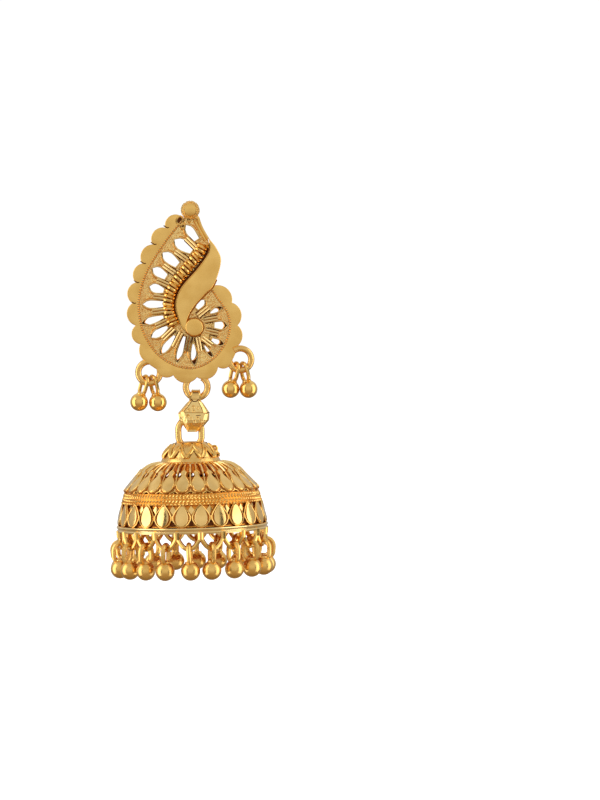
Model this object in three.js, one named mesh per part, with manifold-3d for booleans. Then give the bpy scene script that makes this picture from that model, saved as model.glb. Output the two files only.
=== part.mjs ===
// A gold jhumka drop earring, in millimetres: +Z up, the front facing -Y, the origin where the ear post
// leaves the flat back of the top plate. A pierced paisley plate carries three soldered rings. Two of them
// hold small ball drops, and the middle one holds the link from which the bell and its ball fringe hang.
import * as THREE from "three";
import { mergeVertices } from "three/addons/utils/BufferGeometryUtils.js";
import { ConvexGeometry } from "three/addons/geometries/ConvexGeometry.js";
import Module from "manifold-3d";

const wasm = await Module();
wasm.setup();

// Top plate: its scalloped border runs from the top ball down the left, round the bottom and up the right.
const PLATE_THICKNESS = 1.0;
// Each row is a notch, x and z, and may add the rise of the scallop after it, which is flat behind a ring.
const BORDER_NOTCHES = [
  [-3.7, 7.05], [-5.65, 5.1, 0.32], [-7.55, 2.6], [-9.1, -0.25], [-10.1, -3.1, 0.31], [-10.6, -6.2, 0.31],
  [-10.1, -9.55, 0.32], [-9.4, -12.35, 0.15], [-9.0, -14.6, 0.02], [-6.95, -16.1], [-4.45, -17.0],
  [-0.9, -17.3], [2.25, -15.75], [4.3, -14.9, 0.02], [5.35, -12.45, 0.22], [5.2, -9.5], [4.35, -6.1],
  [1.6, -3.55],
];
const SCALLOP_RISE = 0.28; // bulge of a scallop as a share of its width
const SCALLOP_STEPS = 5;
const TOP_EDGE = [[-0.15, 5.3], [-0.45, 7.0], [-1.9, 7.9], [-2.9, 7.5]]; // the wedge under the ball
const EDGE_MARGIN = 0.3; // the leaf's edge takes over from the last notch this far above it
const BACK_INSET = 0.1; // the raised bodies start this far in front of the plate's flat back

// See-through windows: the outer tip, the inner foot, the widest place and the width at the foot.
const WINDOWS = [
  { tip: [-2.6, 5.6], foot: [-0.95, 3.2], width: 1.25, footWidth: 1.0 },
  { tip: [-4.35, 3.4], foot: [-1.65, 1.5], width: 1.65, footWidth: 0.7 },
  { tip: [-6.1, 1.45], foot: [-3.75, -0.5], width: 1.55, footWidth: 0.95 },
  { tip: [-7.6, -0.9], foot: [-5.45, -2.3], width: 1.4, footWidth: 0.85 },
  { tip: [-8.1, -3.65], foot: [-5.8, -4.35], width: 1.35, footWidth: 0.6 },
  { tip: [-9.1, -6.35], foot: [-5.9, -6.35], width: 1.15, footWidth: 0.9 },
  { tip: [-8.75, -9.1], foot: [-5.85, -8.2], width: 1.05, footWidth: 0.4 },
  { tip: [-7.8, -11.4], foot: [-5.25, -9.7], width: 1.15, footWidth: 0.35 },
  { tip: [-6.15, -13.7], foot: [-4.2, -11.0], width: 1.0, footWidth: 0.35 },
  { tip: [-3.85, -14.7], foot: [-2.75, -11.1], width: 0.85, footWidth: 0.4 },
  { tip: [-1.6, -14.8], foot: [-1.45, -12.25], width: 0.9, footWidth: 0.25 },
  { tip: [0.95, -13.45], foot: [0.2, -12.5], width: 0.5, footWidth: 0.2 },
  { tip: [2.5, -12.15], foot: [1.25, -11.65], width: 0.8, footWidth: 0.55 },
  { tip: [3.2, -9.55], foot: [1.65, -9.45], width: 1.15, footWidth: 0.8 },
  { tip: [2.35, -7.1], foot: [1.05, -7.7], width: 0.7, footWidth: 0.2 },
  { tip: [0.25, -5.6], foot: [-0.95, -7.05], width: 0.95, footWidth: 0.5 },
];
const WINDOW_SHOULDER = 0.66; // the widest place, as a share of the way from the foot to the tip

// Leaf: an S-shaped crescent between two smooth edges, standing proud of the plate.
const LEAF_TIP = [0.85, 3.55];
const LEAF_LEFT = [[0.9, 1.4], [-0.8, -1.15], [-3.1, -3.8], [-4.0, -5.9], [-3.95, -7.4], [-3.25, -9.55]];
const LEAF_TAIL = [-2.35, -10.5];
const LEAF_RIGHT = [[2.05, 1.95], [2.7, 0.0], [1.65, -3.4], [-0.05, -5.25], [-1.5, -6.9], [-2.35, -8.7]];
const LEAF_STEPS = 14;
const LEAF_HEIGHT = 1.9;
const LEAF_BEVEL = 0.15;

// Coil of wire beside the leaf, the boss that the leaf ends at, and the ball on top.
const COIL_PATH = [
  [0.15, 2.5], [-0.5, 1.1], [-1.4, 0.0], [-2.65, -1.6], [-3.55, -2.7], [-4.35, -3.9], [-4.85, -5.2],
  [-5.0, -6.6], [-4.75, -8.1], [-3.95, -9.5],
];
const COIL_RADIUS = 0.62;
const COIL_STEPS = 14;
const BOSS = { x: -1.3, z: -9.8, radius: 1.3, height: 2.0, segments: 16 };
const TOP_BALL = { x: -1.9, z: 7.75, radius: 1.55, depth: 1.0, segments: [14, 9] };

// Rings soldered to the plate. Their wire lies in the plane of the plate.
const RING_RADIUS = 1.63;
const RING_WIRE = 0.52;
const RING_Y = -0.55;
const LEFT_RING = [-8.05, -16.55];
const MIDDLE_RING = [-0.95, -18.75];
const RIGHT_RING = [5.6, -14.6];

// Ear post with its solder pad, plain and straight.
const POST_RADIUS = 0.45;
const POST_LENGTH = 10.5;
const POST_START = 0.12;
const POST_SEGMENTS = 12;
const PAD_RADIUS = 1.5;
const PAD_THICKNESS = 0.5;
const PAD_GAP = 0.02;
const PAD_SEGMENTS = 20;

// Side drops: where each loop's top is, and how far the drop leans to the left as it goes down.
const SIDE_DROPS = [
  { name: "side_drop_left_outer", x: -8.45, z: -16.85, lean: 15 },
  { name: "side_drop_left_inner", x: -7.73, z: -16.85, lean: -13 },
  { name: "side_drop_right_inner", x: 5.1, z: -14.87, lean: 13 },
  { name: "side_drop_right_outer", x: 5.85, z: -14.87, lean: -13 },
];
const SIDE_LOOP = { radius: 1.05, wire: 0.25, stretch: 0.8 };
const SIDE_BALL_RADIUS = 1.35;
const SIDE_BALL_DROP = 4.3; // from the loop's top to the ball's centre
const SIDE_LOOP_TURN = 25;

// Link: sizes are measured down from the middle ring's centre, along the leaning link.
const LINK_LEAN = 9;
const STRAP_HALF_WIDTH = 0.8;
const STRAP_WALL = 0.36;
const STRAP_HOLE_RADIUS = 0.9; // clears the ring's curved wire through the whole strap
const STRAP_SEGMENTS = 20;
const LINK_LEVELS = [
  { down: 2.05, width: 0.8, depth: 1.0, corner: 0.2 },
  { down: 3.85, width: 2.4, depth: 1.6, corner: 0.9 },
  { down: 4.9, width: 2.3, depth: 1.5, corner: 0.8 },
  { down: 6.85, width: 0.9, depth: 0.8, corner: 0.3 },
];
const DOME_RING_DOWN = 6.53;
const LINK_CLEARANCE = 0.13;
const LEG_LENGTH = 1.5;
const SWAY_LIMITS = [-30, 30]; // the bell's side swing, which the link's lower channel clears

// Bell: sizes are measured from the centre of its suspension ring, radius out and height up.
const DOME_LEAN = 1.5;
const DOME_RING = { radius: 1.74, wire: 0.48, stretch: 0.87 };
const DOME_SEGMENTS = 40;
const DOME_WALL = 0.5;
const DOME_OUTLINE = [
  [0, -2.05], [1.0, -2.05], [2.05, -1.65], [3.1, -2.4], [4.05, -3.5], [4.75, -4.5], [4.85, -4.6],
  [6.15, -5.1], [7.55, -6.0], [9.05, -7.65], [9.75, -8.6], [10.4, -10.7], [10.85, -12.9], [11.15, -14.2],
  [11.15, -15.25],
];
const WALL_FROM = 6; // the bell is hollow from this row of its outline downwards
const CEILING_RISE = 0.35; // the ceiling under the cap is this much higher at the axis
const HOOP_COUNT = 20;
const HOOP_PHASE = -3; // degrees from straight in front to the first hoop, towards +X
const HOOP_RADIUS = 10.95;
const HOOP_TOP = -15.1;
const HOOP_BOTTOM = -17.2;
const HOOP_WIRE = 0.27;
const HOOP_SHOULDER = { down: 0.55, out: 0.85 }; // where its straight legs end, as shares of its size
const HOOP_STEPS = 6;

// Fringe: one drop on each hoop, its loop in the plane of the bell's radius.
const FRINGE_LOOP = { radius: 1.2, wire: 0.35, stretch: 0.6 };
const FRINGE_LOOP_TOP = -16.1;
const FRINGE_BALL_RADIUS = 1.42;
const FRINGE_BALL_HEIGHT = -20.35;
const FRINGE_BALL_OUT = 0.2; // the balls hang a little outside their hoops

const WIRE_SIDES = 8;
const RING_SEGMENTS = 18;
const LOOP_SIDES = 6;
const LOOP_SEGMENTS = 12;
const BALL_SEGMENTS = [9, 6];

const GOLD = { color: 0xd4a24a, roughness: 0.25, metalness: 1 };
const POLISHED_GOLD = { color: 0xe0b45c, roughness: 0.12, metalness: 1 };

const MERGE_GAP = 1e-4; // points closer than this are one point

const degrees = THREE.MathUtils.degToRad;

// A closed geometry as a solid, with shared vertices merged and collapsed triangles dropped.
function solid(geometry) {
  const bare = new THREE.BufferGeometry();
  bare.setAttribute("position", geometry.getAttribute("position"));
  bare.setIndex(geometry.index);
  const merged = mergeVertices(bare, MERGE_GAP);
  const index = merged.index.array;
  const triangles = [];
  for (let i = 0; i < index.length; i += 3) {
    const [a, b, c] = [index[i], index[i + 1], index[i + 2]];
    if (a !== b && b !== c && c !== a) triangles.push(a, b, c);
  }
  return new wasm.Manifold(
    new wasm.Mesh({
      numProp: 3,
      vertProperties: merged.attributes.position.array,
      triVerts: new Uint32Array(triangles),
    }),
  );
}

function join(solids) {
  return solids.reduce((all, next) => all.add(next));
}

function meshOf(shape, name, finish) {
  const made = shape.getMesh();
  const geometry = new THREE.BufferGeometry();
  geometry.setAttribute("position", new THREE.BufferAttribute(made.vertProperties, 3));
  geometry.setIndex(new THREE.BufferAttribute(made.triVerts, 1));
  geometry.computeVertexNormals();
  const mesh = new THREE.Mesh(geometry, new THREE.MeshStandardMaterial(finish));
  mesh.name = name;
  return mesh;
}

// A geometry drawn in x and y stands up: y becomes height, and its thickness comes forward.
function standUp(geometry) {
  return geometry.rotateX(Math.PI / 2);
}

function outlineOf(points) {
  return new THREE.Shape(points.map(([x, y]) => new THREE.Vector2(x, y)));
}

function roundSection(radius, sides) {
  const corners = [];
  for (let i = 0; i < sides; i += 1) {
    const angle = (i / sides) * 2 * Math.PI;
    corners.push([radius * Math.cos(angle), radius * Math.sin(angle)]);
  }
  return outlineOf(corners);
}

function tube(points, radius, sides, steps) {
  const path = new THREE.CatmullRomCurve3(points.map((p) => new THREE.Vector3(...p)));
  return new THREE.ExtrudeGeometry(roundSection(radius, sides), {
    steps,
    extrudePath: path,
    bevelEnabled: false,
  });
}

// A standing wire ring around the origin. A stretch pulls its lower half down into an oval loop.
function wireRing(radius, wire, stretch, sides, segments) {
  const ring = new THREE.TorusGeometry(radius, wire, sides, segments);
  ring.rotateZ(Math.PI / segments);
  const position = ring.getAttribute("position");
  for (let i = 0; i < position.count; i += 1) {
    if (position.getY(i) < 0) position.setY(i, position.getY(i) - stretch);
  }
  return standUp(ring);
}

// Points of a round scallop that bulges out between two notches, without the last one.
function scallop([ax, ay, share = SCALLOP_RISE], [bx, by]) {
  const chord = Math.hypot(bx - ax, by - ay);
  const rise = share * chord;
  const radius = (chord * chord / 4 + rise * rise) / (2 * rise);
  const outX = (by - ay) / chord;
  const outY = (ax - bx) / chord;
  const centreX = (ax + bx) / 2 - outX * (radius - rise);
  const centreY = (ay + by) / 2 - outY * (radius - rise);
  const start = Math.atan2(ay - centreY, ax - centreX);
  const sweep = 2 * Math.asin(chord / 2 / radius);
  const points = [];
  for (let i = 0; i < SCALLOP_STEPS; i += 1) {
    const angle = start + (sweep * i) / SCALLOP_STEPS;
    points.push([centreX + radius * Math.cos(angle), centreY + radius * Math.sin(angle)]);
  }
  return points;
}

function smoothLine(points, steps) {
  const curve = new THREE.SplineCurve(points.map(([x, y]) => new THREE.Vector2(x, y)));
  return curve.getPoints(steps).map((p) => [p.x, p.y]);
}

// A pointed window: narrow at its foot, widest near its outer end, sharp at its tip.
function windowPoints({ tip, foot, width, footWidth }) {
  const [tx, ty] = tip;
  const [fx, fy] = foot;
  const length = Math.hypot(tx - fx, ty - fy);
  const sideX = ((fy - ty) / length) * (width / 2);
  const sideY = ((tx - fx) / length) * (width / 2);
  const wideX = fx + (tx - fx) * WINDOW_SHOULDER;
  const wideY = fy + (ty - fy) * WINDOW_SHOULDER;
  const narrow = footWidth / width;
  return [
    [fx - sideX * narrow, fy - sideY * narrow],
    [wideX - sideX, wideY - sideY],
    [tx, ty],
    [wideX + sideX, wideY + sideY],
    [fx + sideX * narrow, fy + sideY * narrow],
  ];
}

function leafRightEdge() {
  return smoothLine([LEAF_TIP, ...LEAF_RIGHT], LEAF_STEPS);
}

// The plate's own right side follows the leaf's edge from the last scallop up to the leaf's tip.
function platePoints() {
  const points = [];
  for (let i = 0; i + 1 < BORDER_NOTCHES.length; i += 1) {
    points.push(...scallop(BORDER_NOTCHES[i], BORDER_NOTCHES[i + 1]));
  }
  const last = BORDER_NOTCHES[BORDER_NOTCHES.length - 1];
  const edge = leafRightEdge().filter(([x, y]) => y > last[1] + EDGE_MARGIN && x >= LEAF_TIP[0]);
  return [...points, last, ...edge.reverse(), ...TOP_EDGE];
}

function plateSheet() {
  const shape = outlineOf(platePoints());
  shape.holes = WINDOWS.map((row) => new THREE.Path(outlineOf(windowPoints(row)).getPoints()));
  return solid(standUp(new THREE.ExtrudeGeometry(shape, { depth: PLATE_THICKNESS, bevelEnabled: false })));
}

function leafBody() {
  const left = smoothLine([LEAF_TIP, ...LEAF_LEFT, LEAF_TAIL], LEAF_STEPS);
  const outline = outlineOf([...left, ...leafRightEdge().reverse().slice(0, -1)]);
  const body = new THREE.ExtrudeGeometry(outline, {
    depth: LEAF_HEIGHT - 2 * LEAF_BEVEL - BACK_INSET,
    bevelThickness: LEAF_BEVEL,
    bevelSize: LEAF_BEVEL,
    bevelOffset: -LEAF_BEVEL,
    bevelSegments: 1,
  });
  body.translate(0, 0, LEAF_BEVEL + BACK_INSET);
  return solid(standUp(body));
}

function coilBody() {
  const route = COIL_PATH.map(([x, z]) => [x, -PLATE_THICKNESS, z]);
  return solid(tube(route, COIL_RADIUS, WIRE_SIDES, COIL_STEPS));
}

function bossBody() {
  const { x, z, radius, height, segments } = BOSS;
  const disc = new THREE.CylinderGeometry(radius, radius, height - BACK_INSET, segments);
  return solid(disc.translate(x, -(height + BACK_INSET) / 2, z));
}

function topBallBody() {
  const ball = new THREE.SphereGeometry(TOP_BALL.radius, ...TOP_BALL.segments);
  ball.scale(1, TOP_BALL.depth / TOP_BALL.radius, 1);
  return solid(ball.translate(TOP_BALL.x, -TOP_BALL.depth, TOP_BALL.z));
}

function solderedRing([x, z]) {
  return solid(wireRing(RING_RADIUS, RING_WIRE, 0, WIRE_SIDES, RING_SEGMENTS).translate(x, RING_Y, z));
}

function topPlate() {
  const rings = [LEFT_RING, MIDDLE_RING, RIGHT_RING].map(solderedRing);
  const body = join([plateSheet(), leafBody(), coilBody(), bossBody(), topBallBody(), ...rings]);
  return meshOf(body, "top_plate", POLISHED_GOLD);
}

function earPost() {
  const pad = new THREE.CylinderGeometry(PAD_RADIUS, PAD_RADIUS, PAD_THICKNESS, PAD_SEGMENTS);
  pad.translate(0, PAD_GAP + PAD_THICKNESS / 2, 0);
  const pin = new THREE.CylinderGeometry(POST_RADIUS, POST_RADIUS, POST_LENGTH, POST_SEGMENTS);
  pin.translate(0, POST_START + POST_LENGTH / 2, 0);
  return meshOf(solid(pad).add(solid(pin)), "ear_post", GOLD);
}

// A ball soldered to the bottom of a wire loop. The loop's top is the origin, in the plane of x and z.
function loopAndBall(loop, ballRadius, ballDrop, ballOut) {
  const wire = wireRing(loop.radius, loop.wire, loop.stretch, LOOP_SIDES, LOOP_SEGMENTS);
  wire.translate(0, 0, -loop.radius - loop.wire);
  const ball = new THREE.SphereGeometry(ballRadius, ...BALL_SEGMENTS).rotateX(Math.PI / 2);
  return solid(wire).add(solid(ball.translate(ballOut, 0, -ballDrop)));
}

function sideDrop({ name, x, z, lean }) {
  const drop = loopAndBall(SIDE_LOOP, SIDE_BALL_RADIUS, SIDE_BALL_DROP, 0);
  const mesh = meshOf(drop, name, POLISHED_GOLD);
  mesh.position.set(x, RING_Y, z);
  mesh.rotation.set(0, degrees(lean), degrees(90 + SIDE_LOOP_TURN));
  return mesh;
}

// An octagon of the link at one level: a rectangle with its corners cut off.
function linkLevel({ down, width, depth, corner }) {
  const points = [];
  for (const [sx, sy] of [[1, 1], [-1, 1], [-1, -1], [1, -1]]) {
    points.push(new THREE.Vector3(sx * width, sy * (depth - corner), -down));
    points.push(new THREE.Vector3(sx * (width - corner), sy * depth, -down));
  }
  return points;
}

// The ring's way through the link's lower end: round like the ring's top, and wide enough for its straight
// legs at both ends of the side swing.
function ringChannel() {
  const { radius, wire } = DOME_RING;
  const thick = wire + LINK_CLEARANCE;
  const cuts = [solid(wireRing(radius, thick, 0, WIRE_SIDES, RING_SEGMENTS))];
  for (const angle of SWAY_LIMITS) {
    for (const side of [-1, 1]) {
      const leg = new THREE.CylinderGeometry(thick, thick, LEG_LENGTH, WIRE_SIDES).rotateX(Math.PI / 2);
      leg.translate(side * radius, 0, -LEG_LENGTH / 2);
      cuts.push(solid(leg.rotateY(degrees(angle - LINK_LEAN - DOME_LEAN))));
    }
  }
  return join(cuts).translate(0, 0, -DOME_RING_DOWN);
}

// The strap is folded over the middle ring's wire, which lies along x at this height.
function link() {
  const outer = STRAP_HOLE_RADIUS + STRAP_WALL;
  const width = 2 * STRAP_HALF_WIDTH;
  const fold = new THREE.CylinderGeometry(outer, outer, width, STRAP_SEGMENTS).rotateZ(Math.PI / 2);
  const hole = new THREE.CylinderGeometry(STRAP_HOLE_RADIUS, STRAP_HOLE_RADIUS, 2 * width, STRAP_SEGMENTS);
  hole.rotateZ(Math.PI / 2);
  const body = new ConvexGeometry(LINK_LEVELS.flatMap(linkLevel));
  const shape = solid(fold.translate(0, 0, -RING_RADIUS))
    .add(solid(body))
    .subtract(solid(hole.translate(0, 0, -RING_RADIUS)))
    .subtract(ringChannel());
  return meshOf(shape, "link", POLISHED_GOLD);
}

// The inner wall follows the outline a wall's thickness inside it, at right angles to it.
function innerWall() {
  const rows = DOME_OUTLINE.slice(WALL_FROM);
  const inner = rows.map(([radius, height], i) => {
    const [r0, h0] = rows[Math.max(i - 1, 0)];
    const [r1, h1] = rows[Math.min(i + 1, rows.length - 1)];
    const length = Math.hypot(r1 - r0, h1 - h0);
    const inR = ((h1 - h0) / length) * DOME_WALL;
    const inH = ((r0 - r1) / length) * DOME_WALL;
    return [radius + inR, height + inH];
  });
  inner[inner.length - 1][1] = DOME_OUTLINE[DOME_OUTLINE.length - 1][1];
  return inner;
}

function bellBody() {
  const inner = innerWall();
  const ceiling = inner[0][1];
  const profile = [...DOME_OUTLINE, ...inner.reverse(), [0, ceiling + CEILING_RISE]];
  const points = profile.reverse().map(([r, h]) => new THREE.Vector2(r, h));
  points.push(points[0]);
  return solid(standUp(new THREE.LatheGeometry(points, DOME_SEGMENTS)));
}

function onBell(angle, radius, height) {
  const turn = degrees(angle);
  return [radius * Math.sin(turn), -radius * Math.cos(turn), height];
}

// One U-shaped hoop hanging from the rim between two of its brackets.
function hoop(angle) {
  const half = 180 / HOOP_COUNT;
  const out = half * HOOP_SHOULDER.out;
  const shoulder = HOOP_TOP + (HOOP_BOTTOM - HOOP_TOP) * HOOP_SHOULDER.down;
  const points = [
    onBell(angle - half, HOOP_RADIUS, HOOP_TOP),
    onBell(angle - out, HOOP_RADIUS, shoulder),
    onBell(angle, HOOP_RADIUS, HOOP_BOTTOM),
    onBell(angle + out, HOOP_RADIUS, shoulder),
    onBell(angle + half, HOOP_RADIUS, HOOP_TOP),
  ];
  return solid(tube(points, HOOP_WIRE, LOOP_SIDES, HOOP_STEPS));
}

function hoopAngles() {
  return Array.from({ length: HOOP_COUNT }, (_, i) => HOOP_PHASE + (i * 360) / HOOP_COUNT);
}

function dome() {
  const { radius, wire, stretch } = DOME_RING;
  const ring = solid(wireRing(radius, wire, stretch, WIRE_SIDES, RING_SEGMENTS));
  return meshOf(join([bellBody(), ring, ...hoopAngles().map(hoop)]), "dome", GOLD);
}

function fringeDrop(angle, index) {
  const ballDrop = FRINGE_LOOP_TOP - FRINGE_BALL_HEIGHT;
  const drop = loopAndBall(FRINGE_LOOP, FRINGE_BALL_RADIUS, ballDrop, FRINGE_BALL_OUT);
  const name = "fringe_drop_" + String(index + 1).padStart(2, "0");
  const mesh = meshOf(drop, name, POLISHED_GOLD);
  mesh.position.set(...onBell(angle, HOOP_RADIUS, FRINGE_LOOP_TOP));
  mesh.rotation.z = degrees(angle - 90);
  return mesh;
}

const earring = new THREE.Group();
earring.add(topPlate(), earPost(), ...SIDE_DROPS.map(sideDrop));

const hanging = new THREE.Group();
hanging.position.set(MIDDLE_RING[0], RING_Y, MIDDLE_RING[1]);
hanging.rotation.y = degrees(LINK_LEAN);
hanging.add(link());
earring.add(hanging);

const bell = new THREE.Group();
bell.position.set(0, 0, -DOME_RING_DOWN);
bell.rotation.y = degrees(-LINK_LEAN - DOME_LEAN);
bell.add(dome(), ...hoopAngles().map(fringeDrop));
hanging.add(bell);

export default earring;
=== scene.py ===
import math
import bmesh
import bpy
from mathutils import Matrix, Vector


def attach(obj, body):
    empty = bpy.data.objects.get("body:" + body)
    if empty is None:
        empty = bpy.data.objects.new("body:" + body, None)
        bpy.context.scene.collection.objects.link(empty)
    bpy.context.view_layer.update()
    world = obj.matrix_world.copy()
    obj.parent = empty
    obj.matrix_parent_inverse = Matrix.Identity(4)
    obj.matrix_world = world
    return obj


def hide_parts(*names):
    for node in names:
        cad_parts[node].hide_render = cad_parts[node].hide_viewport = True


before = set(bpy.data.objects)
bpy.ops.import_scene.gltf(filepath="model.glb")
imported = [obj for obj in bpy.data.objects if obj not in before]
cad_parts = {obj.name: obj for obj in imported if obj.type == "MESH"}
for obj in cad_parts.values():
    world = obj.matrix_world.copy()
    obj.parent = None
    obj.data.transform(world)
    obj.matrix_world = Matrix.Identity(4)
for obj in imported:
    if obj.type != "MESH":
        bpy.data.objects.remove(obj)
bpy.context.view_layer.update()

# Camera
# A long lens straight in front of the earring, a little above the bell, as in the photo. The earring hangs
# left of the middle of the picture, so the camera turns a little to the right and down.
mm = 0.001
eye = Vector((-1.2, -420.5, -14.7)) * mm
aim = Vector((14.55, -0.5, -20.7)) * mm
lens = bpy.data.cameras.new("camera")
lens.sensor_width = 36
lens.lens = 126
lens.clip_start = 0.01
camera = bpy.data.objects.new("camera", lens)
camera.location = eye
camera.rotation_euler = (aim - eye).to_track_quat("-Z", "Y").to_euler()
bpy.context.scene.collection.objects.link(camera)
bpy.context.scene.camera = camera
bpy.context.scene.view_settings.view_transform = "Standard"

# Floor
# A large sheet of white acrylic, lit from below as a light table is, so that it stays white under the
# hanging earring. The gold doesn't mirror it.
floor_height = -0.058
floor_half = 3.0
floor_white = (0.9, 0.9, 0.9, 1)
floor_glow = 0.6
floor_mesh = bpy.data.meshes.new("floor")
floor_corners = [(-1, -1), (1, -1), (1, 1), (-1, 1)]
floor_points = [(x * floor_half, y * floor_half, floor_height) for x, y in floor_corners]
floor_mesh.from_pydata(floor_points, [], [(0, 1, 2, 3)])
floor = bpy.data.objects.new("floor", floor_mesh)
bpy.context.scene.collection.objects.link(floor)
floor.visible_glossy = False
acrylic = bpy.data.materials.new("white_acrylic")
acrylic.use_nodes = True
acrylic_surface = acrylic.node_tree.nodes["Principled BSDF"]
acrylic_surface.inputs["Base Color"].default_value = floor_white
acrylic_surface.inputs["Roughness"].default_value = 0.8
acrylic_surface.inputs["Emission Color"].default_value = (1, 1, 1, 1)
acrylic_surface.inputs["Emission Strength"].default_value = floor_glow
floor_mesh.materials.append(acrylic)

# Light
# A white room with a pale grey wall in front of the earring and a darker one behind it. Two tall soft boxes
# stand left and right of the camera, and a dark gap beside each gives the gold its dark reflections. The
# room is dim and warm below, and brightest a little above the middle.
world = bpy.data.worlds.new("studio")
bpy.context.scene.world = world
world.use_nodes = True
sky = world.node_tree
sky.nodes.clear()


def new_node(tree, kind, *values, **named):
    """A node of a tree. Its settings have names in small letters, and its inputs come in order or by name.

    An input is given as a value, as an output of another node, or as a node whose first output it takes.
    """
    node = tree.nodes.new(kind)
    for name, setting in named.items():
        if name.islower():
            setattr(node, name, setting)
    inputs = list(zip(node.inputs, values))
    inputs += [(node.inputs[name.replace("_", " ")], named[name]) for name in named if not name.islower()]
    for socket, value in inputs:
        if isinstance(value, bpy.types.Node):
            value = value.outputs[0]
        if isinstance(value, bpy.types.NodeSocket):
            tree.links.new(value, socket)
        else:
            socket.default_value = value
    return node


def new_ramp(tree, value, stops):
    """A colour ramp of a value, with a grey or a colour at each place."""
    ramp = new_node(tree, "ShaderNodeValToRGB", value)
    ramp.color_ramp.elements.remove(ramp.color_ramp.elements[1])
    for index, (place, colour) in enumerate(stops):
        element = ramp.color_ramp.elements[0] if index == 0 else ramp.color_ramp.elements.new(place)
        element.position = place
        element.color = (*colour, 1)
    return ramp


def grey(level):
    return (level, level, level)


# The front wall's levels go from ahead to the side, and the others from straight down to straight up.
front_levels = [(0, grey(0.71)), (0.62, grey(0.71)), (0.68, grey(0.08)), (0.82, grey(0.08)),
                (0.86, grey(0.55))]
rear_levels = [(0, grey(0.48)), (0.5, grey(0.48)), (0.7, grey(0.58)), (0.85, grey(0.85)), (1, grey(0.85))]
height_levels = [(0, (0.55, 0.42, 0.3)), (0.3, (0.72, 0.6, 0.48)), (0.46, grey(0.98)), (0.54, grey(1.0)),
                 (0.64, grey(1.1)), (0.8, grey(0.95)), (1, grey(0.85))]
background_level = 1.05
direction = new_node(sky, "ShaderNodeTexCoord")
parts = new_node(sky, "ShaderNodeSeparateXYZ", direction.outputs["Generated"])
sideways = new_node(sky, "ShaderNodeMath", parts.outputs["X"], operation="ABSOLUTE")
backwards = new_node(sky, "ShaderNodeMapRange", parts.outputs["Y"], From_Min=-0.1, From_Max=0.1)
height = new_node(sky, "ShaderNodeMapRange", parts.outputs["Z"], From_Min=-1.0, From_Max=1.0)
front_wall = new_ramp(sky, sideways, front_levels)
rear_wall = new_ramp(sky, height, rear_levels)
shade = new_ramp(sky, height, height_levels)
walls = new_node(sky, "ShaderNodeMix", data_type="RGBA", Factor=backwards, A=front_wall, B=rear_wall)
room = new_node(sky, "ShaderNodeMix", data_type="RGBA", blend_type="MULTIPLY", Factor=1.0,
                A=walls.outputs["Result"], B=shade)
glow = new_node(sky, "ShaderNodeBackground", Color=room.outputs["Result"], Strength=1.0)
white = new_node(sky, "ShaderNodeBackground", Color=(1, 1, 1, 1), Strength=background_level)
seen = new_node(sky, "ShaderNodeLightPath")
shown = new_node(sky, "ShaderNodeMixShader", seen.outputs["Is Camera Ray"], glow, white)
new_node(sky, "ShaderNodeOutputWorld", shown)

soft_box_aim = Vector((0, 0, -20)) * mm
soft_box_far = 0.6
soft_box_rise = 0.05
soft_box_size = (0.48, 1.2)
soft_box_watts = 3.2
for side, turn, share in [("left", -76, 1.0), ("right", 76, 0.85)]:
    light = bpy.data.lights.new("soft_box_" + side, "AREA")
    light.shape = "RECTANGLE"
    light.size, light.size_y = soft_box_size
    light.energy = soft_box_watts * share
    soft_box = bpy.data.objects.new("soft_box_" + side, light)
    away = Vector((math.sin(math.radians(turn)), -math.cos(math.radians(turn)), soft_box_rise))
    soft_box.location = soft_box_aim + away * soft_box_far
    soft_box.rotation_euler = (-away).to_track_quat("-Z", "Y").to_euler()
    bpy.context.scene.collection.objects.link(soft_box)

# Top plate
# A sheet of brass, sawn out in pointed windows and gold plated, like all the pieces. Its scalloped border is
# a second, polished sheet soldered round the edge, and the ground inside it lies lower and is granulated.
# The windows have wire rims, with pairs of short ridged rods between them.


def gold(name, colour, roughness, dents=0.15, grain=2.0):
    """Gold plating: its colour drifts a little, polish marks make it duller in places, and it's never flat.

    Dents is how deep its waves are, and grain how many of them there are to a millimetre.
    """
    dull = 0.08
    material = bpy.data.materials.new(name)
    material.use_nodes = True
    tree = material.node_tree
    place = new_node(tree, "ShaderNodeTexCoord").outputs["Object"]
    drift = new_node(tree, "ShaderNodeTexNoise", place, Scale=grain / mm / 4, Detail=3.0)
    marks = new_node(tree, "ShaderNodeTexNoise", place, Scale=grain / mm, Detail=4.0)
    light_gold = tuple(min(1.0, c * 1.06) for c in colour)
    deep_gold = (colour[0] * 0.95, colour[1] * 0.9, colour[2] * 0.8)
    tint = new_ramp(tree, drift, [(0.35, deep_gold), (0.65, light_gold)])
    polish = new_node(tree, "ShaderNodeMapRange", marks, From_Min=0.3, From_Max=0.7,
                      To_Min=roughness - dull / 2, To_Max=roughness + dull)
    bump = new_node(tree, "ShaderNodeBump", Distance=0.05 * dents * mm, Height=marks)
    surface = tree.nodes["Principled BSDF"]
    surface.inputs["Metallic"].default_value = 1
    for label, node in (("Base Color", tint), ("Roughness", polish), ("Normal", bump)):
        tree.links.new(node.outputs[0], surface.inputs[label])
    return material


polished = gold("polished_gold", (0.93, 0.58, 0.17), 0.16)
# A lighter copy of the gold: a painted highlight on the raised rims, rods, beads, ribs, flange and rim band.
painted_highlight = gold("painted_highlight_gold", (0.98, 0.69, 0.3), 0.18)
granulated = gold("granulated_gold", (1.0, 0.68, 0.27), 0.24)
# Darker orange gold: painted shade in the lines beside the window rims.
flank_shade = gold("flank_shade_gold", (0.88, 0.42, 0.09), 0.32)
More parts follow.
